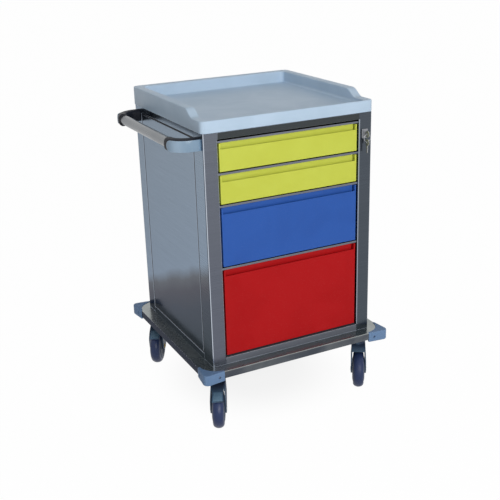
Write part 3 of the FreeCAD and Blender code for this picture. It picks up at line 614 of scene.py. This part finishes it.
def buildBumpers():
    look = bumperLook
    bottomZ, topZ = (corner.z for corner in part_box("corner_bumpers"))
    edgeX, edgeY = baseHalf.x, baseHalf.y
    tip = Vector((edgeX + look["cornerProud"], edgeY + look["cornerProud"]))
    one = bmesh.new()
    face = outlineFace(one, [(edgeX - look["frontLeg"], edgeY + look["endProud"]), tip,
                             (edgeX + look["endProud"], edgeY - look["sideLeg"]),
                             (edgeX - look["frontLeg"], edgeY - look["sideLeg"])], "z")
    thicken(one, face, (0, 0, topZ - bottomZ))
    bmesh.ops.translate(one, verts=one.verts, vec=(0, 0, bottomZ))
    softenEdges(one, [e for e in one.edges if all((v.co.xy - tip).length < 1e-5 for v in e.verts)],
                look["cornerRound"], 10)
    softenEdges(one, foldEdges(one), look["edgeRound"], 4)
    for grow, bottom, top in ((look["baseGap"], baseLow.z, baseHigh.z + look["topGap"]),
                              (-look["lipWidth"], bottomZ - 0.01, topZ + 0.01)):
        block = bmesh.new()
        boxMesh(block, (-edgeX - grow, -edgeY - grow, bottom), (edgeX + grow, edgeY + grow, top))
        softenEdges(block, [e for e in block.edges if (e.verts[0].co.xy - e.verts[1].co.xy).length < 1e-6],
                    look["baseCorner"], 16)
        one = carve(one, block)
    for start, end in (((screwX, edgeY - 0.001), (screwX, tip.y + 0.01)),
                       ((edgeX - 0.001, screwY), (tip.x + 0.01, screwY))):
        drill = bmesh.new()
        barMesh(drill, look["screwHole"], (*start, look["screwZ"]), (*end, look["screwZ"]), 24)
        one = carve(one, drill)
    whole = bmesh.new()
    for sideX in (-1, 1):
        for sideY in (-1, 1):
            corner = one.copy()
            bmesh.ops.transform(corner, verts=corner.verts,
                                matrix=Matrix.Translation((baseMiddle.x, baseMiddle.y, 0))
                                @ Matrix.Diagonal((sideX, sideY, 1, 1)))
            joinInto(whole, corner)
    one.free()
    finishPiece("cornerBumpers", whole, "cabinet", ["corner_bumpers"], "bumperPlastic",
                sharp=30)


def crossHead():
    look = screwLook
    head = bmesh.new()
    bmesh.ops.create_cone(head, cap_ends=True, segments=28, radius1=look["radius"], radius2=look["radius"],
                          depth=look["height"], matrix=Matrix.Translation((0, 0, look["height"] / 2)))
    softenEdges(head, [e for e in foldEdges(head) if min(v.co.z for v in e.verts) > look["height"] - 0.0002],
                look["edgeRound"], 3)
    for reachX, reachY in ((look["crossReach"], look["crossHalf"]), (look["crossHalf"], look["crossReach"])):
        cross = bmesh.new()
        boxMesh(cross, (-reachX, -reachY, look["crossFrom"]), (reachX, reachY, look["crossTo"]))
        head = carve(head, cross)
    return head


def buildScrews():
    screws = bmesh.new()
    for sideX in (-1, 1):
        for sideY in (-1, 1):
            for at, out in (((sideX * screwX, sideY * baseHalf.y), (0, sideY)),
                            ((sideX * baseHalf.x, sideY * screwY), (sideX, 0))):
                head = crossHead()
                spot = Vector((baseMiddle.x + at[0], baseMiddle.y + at[1], bumperLook["screwZ"]))
                turn = Vector((*out, 0)).to_track_quat("Z", "Y").to_matrix().to_4x4()
                bmesh.ops.transform(head, verts=head.verts, matrix=Matrix.Translation(spot) @ turn)
                joinInto(screws, head)
    finishPiece("crossHeadScrews", screws, "cabinet", ["fixing_screws"], "screwSteel")


buildBumpers()
buildScrews()
print("bumpers done")


# side handle

def buildHandle():
    # side is -1 at the front and 1 at the rear
    look = {"bend": 0.047, "inside": 0.0115, "outside": 0.0188, "height": 0.0406, "elbowRound": 0.0135,
            "coverThick": 0.0026, "coverSunk": 0.0006, "coverBelow": 0.0183, "coverAbove": 0.0158,
            "coverRound": 0.0013, "coverStart": {-1: 14, 1: 22}, "coverEnd": 0.0164, "coverSteps": 19,
            "collarRadius": 0.0190, "collarLength": 0.009, "collarShown": 0.003, "collarSunk": 0.002,
            "collarRound": 0.0015, "tubeRound": 0.0004}
    barLow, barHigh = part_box("handle_bar")
    bar = (barLow + barHigh) / 2
    for node, elbowName, coverName, side in (("handle_elbow_front", "elbowFront", "coverFront", -1),
                                             ("handle_elbow_rear", "elbowRear", "coverRear", 1)):
        low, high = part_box(node)
        end = high.y if side < 0 else low.y
        centre = Vector((bar.x + look["bend"], end + side * look["collarLength"], bar.z))
        inner, outer = look["bend"] - look["inside"], look["bend"] + look["outside"]
        half = look["height"] / 2
        # a rounded section turned a quarter round the bend and run on to the cabinet
        bm = bmesh.new()
        face = outlineFace(bm, [(-outer, -half), (-inner, -half), (-inner, half), (-outer, half)], "y")
        bmesh.ops.bevel(bm, geom=face.verts[:], offset=look["elbowRound"], offset_type="OFFSET",
                        affect="VERTICES", segments=8, profile=0.5, material=-1)
        face = bm.faces[:][0]
        bmesh.ops.translate(bm, verts=face.verts, vec=centre)
        turned = bmesh.ops.spin(bm, geom=[face], cent=centre, axis=(0, 0, 1), angle=-side * pi / 2, steps=20,
                                use_merge=False)["geom_last"]
        last = [part for part in turned if isinstance(part, bmesh.types.BMFace)]
        thicken(bm, last[0], (deckLow.x - centre.x, 0, 0))
        collar = bmesh.new()
        barMesh(collar, look["collarRadius"], (bar.x, centre.y + side * look["collarSunk"], bar.z),
                (bar.x, centre.y - side * look["collarShown"], bar.z))
        softenEdges(collar, foldEdges(collar, 60), look["collarRound"], 3)
        joinInto(bm, collar)
        finishPiece(elbowName, bm, "cabinet", [node], "elbowPlastic")

        # the cap starts as a flat plate with one round end, and is then wrapped round the elbow
        plate = bmesh.new()
        quarter = pi / 2 * outer
        start = radians(look["coverStart"][side]) * outer
        stop = quarter + deckLow.x - centre.x
        face = outlineFace(plate, [(start, -look["coverBelow"]), (stop, -look["coverBelow"]),
                                   (stop, look["coverAbove"]), (start, look["coverAbove"])], "y")
        bmesh.ops.bevel(plate, geom=[v for v in face.verts if v.co.x < start + 1e-5],
                        offset=look["coverEnd"], offset_type="OFFSET", affect="VERTICES", segments=8,
                        profile=0.5, material=-1)
        thicken(plate, plate.faces[:][0], (0, look["coverThick"] + look["coverSunk"], 0))
        softenEdges(plate, [e for e in foldEdges(plate, 50) if min(v.co.y for v in e.verts) > 0.001],
                    look["coverRound"], 4)
        for step in range(1, look["coverSteps"] + 1):
            sliceAt(plate, (start + (quarter - start) * step / look["coverSteps"], 0, 0), (1, 0, 0))
        for vert in plate.verts:
            along, depth, level = vert.co
            reach = outer - look["coverSunk"] + depth
            angle = min(along, quarter) / outer
            vert.co = centre + Vector((-reach * cos(angle) + max(0, along - quarter),
                                       side * reach * sin(angle), level))
        finishPiece(coverName, plate, "cabinet", ["handle_elbow_covers"], "coverPlastic")
    softenedNode("handle_bar", "gripTube", "cabinet", "tubeSteel", look["tubeRound"])


buildHandle()
print("handle done")


# lock and keys

def buildKey(node, body, name, along):
    # along is the way the blade points from the bow
    look = {"thick": 0.002, "bow": 0.011, "hole": 0.003, "blade": 0.007, "bladeFrom": 0.004,
            "bladeShare": 0.9, "teeth": (0.0014, 0.0022, 0.0010, 0.0018, 0.0012, 0.0020),
            "toothStep": 0.0034, "toothSize": 0.0030, "toothLift": 0.002, "tipLength": 0.003,
            "grooveFrom": 0.013, "grooveHalf": 0.0006, "grooveShare": 0.55, "edgeRound": 0.0003}
    low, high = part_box(node)
    bowAt = (low + high) / 2
    half = look["thick"] / 2
    if along.y:
        bowAt.y = low.y + look["bow"]
        reach = high.y - bowAt.y
    else:
        bowAt.z = high.z - look["bow"]
        reach = bowAt.z - low.z
    side = Vector((1, 0, 0))
    across = Vector((0, along.z, along.y))
    bow, drill = bmesh.new(), bmesh.new()
    barMesh(bow, look["bow"], bowAt - side * half, bowAt + side * half, 40)
    barMesh(drill, look["hole"], bowAt - side * 0.01, bowAt + side * 0.01, 24)
    bow = carve(bow, drill)
    softenEdges(bow, foldEdges(bow, 50), look["edgeRound"], 2)
    blade = bmesh.new()
    edge, cheek = across * look["blade"] / 2, side * half * look["bladeShare"]
    boxMesh(blade, bowAt + along * look["bladeFrom"] - edge - cheek, bowAt + along * reach + edge + cheek)
    for index, depth in enumerate(look["teeth"]):
        at = (bowAt + along * (reach - look["tipLength"] - index * look["toothStep"])
              + across * (look["blade"] / 2 - depth + look["toothLift"]))
        tooth = bmesh.new()
        bmesh.ops.create_cube(tooth, size=look["toothSize"],
                              matrix=Matrix.Translation(at) @ Matrix.Rotation(radians(45), 4, "X"))
        blade = carve(blade, tooth)
    groove = bmesh.new()
    rib = across * look["grooveHalf"]
    for out in (-half, half):
        boxMesh(groove, bowAt + along * look["grooveFrom"] - rib + side * out * look["grooveShare"],
                bowAt + along * (reach + 0.01) + rib + side * out * 2)
    joinInto(bow, carve(blade, groove))
    finishPiece(name, bow, body, [node], "nickel")


def buildLock():
    look = {"collarRound": 0.0006, "plugRound": 0.0003}
    softenedNode("lock_barrel", "lockCollar", "cabinet", "nickel", look["collarRound"],
                 segments=3)
    softenedNode("lock_plug", "lockPlug", "lock_cylinder", "nickel", look["plugRound"])
    buildKey("key", "lock_cylinder", "keyInLock", Vector((0, 1, 0)))
    buildKey("spare_key", "spare_key", "keySpare", Vector((0, 0, -1)))
    paintNode("key_ring", "nickel")


buildLock()
print("lock done")


# casters, each built with its swivel at the origin and its wheel trailing along x

casterLook = {"wheel": 0.0625, "tread": 0.018, "hub": 0.047, "guard": 0.0205, "trail": 0.040,
              "forkTop": 0.1455, "cheekIn": 0.0212, "cheekOut": 0.026, "headHalf": 0.023, "hoodFrom": 0.100,
              "clearance": 0.0665, "sideRound": 0.006, "forkRound": 0.0035, "capHole": 0.0085,
              "capSunk": 0.0012, "pedalHalf": 0.018, "pedalPivotX": 0.022, "pedalPivotZ": 0.140,
              "pedalGap": 0.0006, "pedalSlot": 0.0053, "pedalRound": 0.0012, "tyreGap": 0.0046}
padLook = {"start": 0.037, "startDrop": 0.0084, "end": 0.0645, "endDrop": 0.0244, "half": 0.0135,
           "sunk": 0.001, "top": 0.0008, "ribs": 6, "ribStart": 0.003, "ribEnd": 0.0045, "ribWidth": 0.0018,
           "ribHalf": 0.0125, "ribFrom": 0.0006, "ribTop": 0.0014, "round": 0.0003}
wheelAt = Vector((casterLook["trail"], 0, casterLook["wheel"]))


def casterPlace(corner):
    swivel = joints[corner + "_swivel"]["pos_m"]
    axle = joints[corner + "_roll"]["axis"]
    turn = atan2(-axle[0], axle[1])
    return Matrix.Translation((swivel[0], swivel[1], 0)) @ Matrix.Rotation(turn, 4, "Z")


def finishCasterPiece(name, bm, place, body, node, finish, sharp=38):
    bmesh.ops.transform(bm, verts=bm.verts, matrix=place)
    finishPiece(name, bm, body, [node] if node else None, finish, sharp)


def mirrored(points):
    return points + [(out, -along) for out, along in reversed(points)]


def wheelRod(radius, start, end, sides):
    # a rod along the wheel's axle, to cut with
    bm = bmesh.new()
    barMesh(bm, radius, wheelAt + Vector((0, start, 0)), wheelAt + Vector((0, end, 0)), sides)
    return bm


def buildTyre(place, corner):
    rim, half, seat = casterLook["wheel"], casterLook["tread"], casterLook["hub"]
    bm = bmesh.new()
    section = [(seat, half - 0.0006), (seat + 0.003, half), (seat + 0.0055, half - 0.0004),
               (rim - 0.0062, half - 0.0024), (rim - 0.0034, half - 0.0056), (rim - 0.0016, half - 0.0092),
               (rim - 0.0005, 0.0052), (rim, 0.0024)]
    spinSection(bm, mirrored(section), wheelAt, (0, 1, 0), 96)
    finishCasterPiece(f"tyre_{corner}", bm, place, "wheel_" + corner, f"caster_{corner}_tyre",
                      "tyreRubber")


def buildHub(place, corner):
    guard, half = casterLook["guard"], casterLook["tread"]
    bm = bmesh.new()
    section = [(0.0052, guard), (0.012, guard), (0.0135, guard - 0.001), (0.016, guard - 0.0045),
               (0.026, guard - 0.0050), (0.0325, guard - 0.0008), (0.034, guard), (0.036, guard - 0.0002),
               (0.0435, half + 0.0006), (0.0445, half - 0.0004), (0.0469, half - 0.0008)]
    spinSection(bm, mirrored(section), wheelAt, (0, 1, 0), 72)
    finishCasterPiece(f"hub_{corner}", bm, place, "wheel_" + corner, f"caster_{corner}_hub",
                      "hubPlastic")


def buildFork(place, corner, braked):
    look = casterLook
    top, half, hoodFrom = look["forkTop"], look["cheekOut"], look["hoodFrom"]
    bm = bmesh.new()
    face = outlineFace(bm, [(-0.023, top), (0.023, top), (0.040, top - 0.010), (0.055, 0.122),
                            (0.0635, 0.098), (0.0605, 0.066), (0.050, 0.049), (0.030, 0.0482),
                            (0.010, 0.062), (-0.008, 0.090), (-0.022, 0.122)], "y")
    thicken(bm, face, (0, 2 * half, 0))
    bmesh.ops.translate(bm, verts=bm.verts, vec=(0, -half, 0))
    softenEdges(bm, [e for e in bm.edges if abs(e.verts[0].co.y - e.verts[1].co.y) > 0.01
                     and e.verts[0].co.z < top - 0.001], look["sideRound"], 4)
    for level in (hoodFrom, 0.112, 0.124, 0.136):
        sliceAt(bm, (0, 0, level), (0, 0, 1))
    for vert in bm.verts:  # the hood draws in towards the swivel
        share = min(1, max(0, (vert.co.z - hoodFrom) / (top - hoodFrom)))
        vert.co.y *= 1 - share * (1 - look["headHalf"] / half)
    softenEdges(bm, foldEdges(bm, 50), look["forkRound"], 4)
    bm = carve(bm, wheelRod(look["clearance"], -look["cheekIn"], look["cheekIn"], 64))
    if braked:
        cutter = bmesh.new()
        slotHalf = look["pedalHalf"] + look["pedalGap"]
        slotX = look["pedalPivotX"] - look["pedalSlot"]
        boxMesh(cutter, (slotX, -slotHalf, 0.09), (0.09, slotHalf, top + 0.01))
        bm = carve(bm, cutter)
    sunk = half - look["capSunk"]
    cutter = wheelRod(look["capHole"], -0.04, -sunk, 32)
    joinInto(cutter, wheelRod(look["capHole"], sunk, 0.04, 32))
    finishCasterPiece(f"housing_{corner}", carve(bm, cutter), place, "caster_" + corner,
                      f"caster_{corner}_fork", "housingPlastic", sharp=32)


def buildAxle(place, corner):
    root = casterLook["cheekOut"] - 0.001
    end = casterLook["cheekOut"] + 0.0014
    bm = bmesh.new()
    section = [(0.0001, end - 0.0010), (0.0026, end - 0.0010), (0.0030, end), (0.0070, end),
               (0.0078, end - 0.0006), (0.0078, root), (0.0045, root)]
    spinSection(bm, mirrored(section), wheelAt, (0, 1, 0), 36)
    finishCasterPiece(f"axle_{corner}", bm, place, "caster_" + corner, f"caster_{corner}_axle",
                      "capYellow" if corner == "rear_left" else "zincPlate")


def buildPedal(place, corner):
    look = casterLook
    half, x, z = look["pedalHalf"], look["pedalPivotX"], look["pedalPivotZ"]
    bm = bmesh.new()
    face = outlineFace(bm, [(x - 0.004, z), (x, z + 0.0044), (x + 0.018, z + 0.0008),
                            (x + 0.038, z - 0.0088), (x + 0.052, z - 0.0172), (0.0870, 0.1150),
                            (0.0878, 0.1120), (0.0868, 0.1045), (0.0820, 0.1042), (0.060, 0.120),
                            (x, z - 0.0044)], "y")
    thicken(bm, face, (0, 2 * half, 0))
    bmesh.ops.translate(bm, verts=bm.verts, vec=(0, -half, 0))
    bm = carve(bm, wheelRod(look["wheel"] + look["tyreGap"], -0.03, 0.03, 96))
    softenEdges(bm, foldEdges(bm, 40), look["pedalRound"], 3)
    finishCasterPiece(f"pedal_{corner}", bm, place, "pedal_" + corner, "brake_pedal_" + corner,
                      "pedalPlastic")


def buildPad(place, corner):
    # the raised pad the toe presses on, ribbed across
    look = padLook
    pivot = Vector((casterLook["pedalPivotX"], 0, casterLook["pedalPivotZ"]))
    start = pivot + Vector((look["start"], 0, -look["startDrop"]))
    end = pivot + Vector((look["end"], 0, -look["endDrop"]))
    along = (end - start).normalized()
    up = Vector((-along.z, 0, along.x))
    reach = (end - start).length
    lean = Matrix((along, Vector((0, 1, 0)), up)).transposed().to_4x4()
    bm = bmesh.new()
    boxMesh(bm, (0, -look["half"], -look["sunk"]), (reach, look["half"], look["top"]))
    for index in range(look["ribs"]):
        rib = look["ribStart"] + index * (reach - look["ribStart"] - look["ribEnd"]) / (look["ribs"] - 1)
        boxMesh(bm, (rib, -look["ribHalf"], look["ribFrom"]),
                (rib + look["ribWidth"], look["ribHalf"], look["ribTop"]))
    softenEdges(bm, foldEdges(bm, 60), look["round"], 2)
    finishCasterPiece(f"pedalPad_{corner}", bm, place @ Matrix.Translation(start) @ lean, "pedal_" + corner,
                      None, "padPlastic")


for corner in ("front_left", "front_right", "rear_left", "rear_right"):
    place = casterPlace(corner)
    braked = corner + "_brake" in joints
    buildTyre(place, corner)
    buildHub(place, corner)
    buildFork(place, corner, braked)
    buildAxle(place, corner)
    if braked:
        buildPedal(place, corner)
        buildPad(place, corner)
print("casters done")


# room

room = {"ambient": 0.30, "floorGlow": 0.985, "shadeGlow": 0.84, "shadeFrom": 0.10, "shadeTo": 0.38,
        "floorTone": 0.86, "floorGap": 0.0002, "size": 60}


def seenRays(tree):
    # 1 for rays that show the room itself, 0 for the light it gives the cart
    rays = addNode(tree, "ShaderNodeLightPath")
    seen = mathNode(tree, "MAXIMUM", rays.outputs["Is Camera Ray"], rays.outputs["Is Glossy Ray"])
    return mathNode(tree, "MAXIMUM", seen, rays.outputs["Is Transmission Ray"])


def buildRoom():
    bm = bmesh.new()
    bmesh.ops.create_grid(bm, x_segments=1, y_segments=1, size=room["size"] / 2)
    bmesh.ops.translate(bm, verts=bm.verts, vec=(0, 0, cadLow.z - room["floorGap"]))
    mesh = bpy.data.meshes.new("studioFloor")
    bm.to_mesh(mesh)
    bm.free()
    floor = bpy.data.objects.new("studioFloor", mesh)
    scene.collection.objects.link(floor)
    material = bpy.data.materials.new("whitePaper")
    material.use_nodes = True
    tree = material.node_tree
    tree.nodes.clear()
    matte = addNode(tree, "ShaderNodeBsdfDiffuse")
    matte.inputs["Color"].default_value = (room["floorTone"],) * 3 + (1,)
    glow = addNode(tree, "ShaderNodeEmission")
    mix = addNode(tree, "ShaderNodeMixShader")
    place = addNode(tree, "ShaderNodeTexCoord")
    away = addNode(tree, "ShaderNodeVectorMath", operation="LENGTH")
    tree.links.new(place.outputs["Object"], away.inputs[0])
    # painted shadow: the floor glows less under the cart
    glowShare = rangeNode(tree, away.outputs["Value"], room["shadeFrom"], room["shadeTo"], room["shadeGlow"],
                          room["floorGlow"], smooth=True)
    tree.links.new(mathNode(tree, "MULTIPLY", seenRays(tree), glowShare), mix.inputs[0])
    tree.links.new(matte.outputs[0], mix.inputs[1])
    tree.links.new(glow.outputs[0], mix.inputs[2])
    out = addNode(tree, "ShaderNodeOutputMaterial")
    tree.links.new(mix.outputs[0], out.inputs[0])
    mesh.materials.append(material)

    world = bpy.data.worlds.new("paleRoom")
    scene.world = world
    world.use_nodes = True
    tree = world.node_tree
    sky = tree.nodes["Background"]
    sky.inputs["Color"].default_value = (1, 1, 1, 1)
    tree.links.new(rangeNode(tree, seenRays(tree), 0, 1, room["ambient"], 1.0), sky.inputs["Strength"])


buildRoom()

lampAim = Vector((cartMiddle.x, cartMiddle.y, 0.55))
lampLooks = {
    "frontLamp": dict(spot=(-0.5, -4.2, 1.9), power=106, size=2.2),
    "topLamp": dict(spot=(0.6, 0.6, 3.6), power=5, size=2.6),
}
for name, look in lampLooks.items():
    lamp = bpy.data.lights.new(name, "AREA")
    lamp.energy, lamp.size = look["power"], look["size"]
    holder = bpy.data.objects.new(name, lamp)
    holder.location = cartMiddle.xy.to_3d() + Vector(look["spot"])
    holder.rotation_euler = (lampAim - holder.location).to_track_quat("-Z", "Y").to_euler()
    scene.collection.objects.link(holder)


# camera

cameraLook = {"offset": (-1.28503, -2.55890, 1.51315), "turn": -26.464, "down": 20.293, "roll": -1.704,
              "lens": 63.4, "sensor": 36, "clipEnd": 100}


def placeCamera():
    look = cameraLook
    turn, down, roll = (radians(look[key]) for key in ("turn", "down", "roll"))
    ahead = Vector((-sin(turn) * cos(down), cos(turn) * cos(down), -sin(down)))
    right = Vector((cos(turn), sin(turn), 0))
    over = right.cross(ahead)
    across = cos(roll) * right + sin(roll) * over
    over = cos(roll) * over - sin(roll) * right
    camera = bpy.data.objects.new("camera", bpy.data.cameras.new("camera"))
    turned = Matrix((across, over, -ahead)).transposed().to_4x4()
    spot = Vector((cartMiddle.x, cartMiddle.y, 0)) + Vector(look["offset"])
    camera.matrix_world = Matrix.Translation(spot) @ turned
    camera.data.lens, camera.data.sensor_width = look["lens"], look["sensor"]
    camera.data.clip_end = look["clipEnd"]
    scene.collection.objects.link(camera)
    scene.camera = camera


placeCamera()
scene.view_settings.view_transform = "Standard"
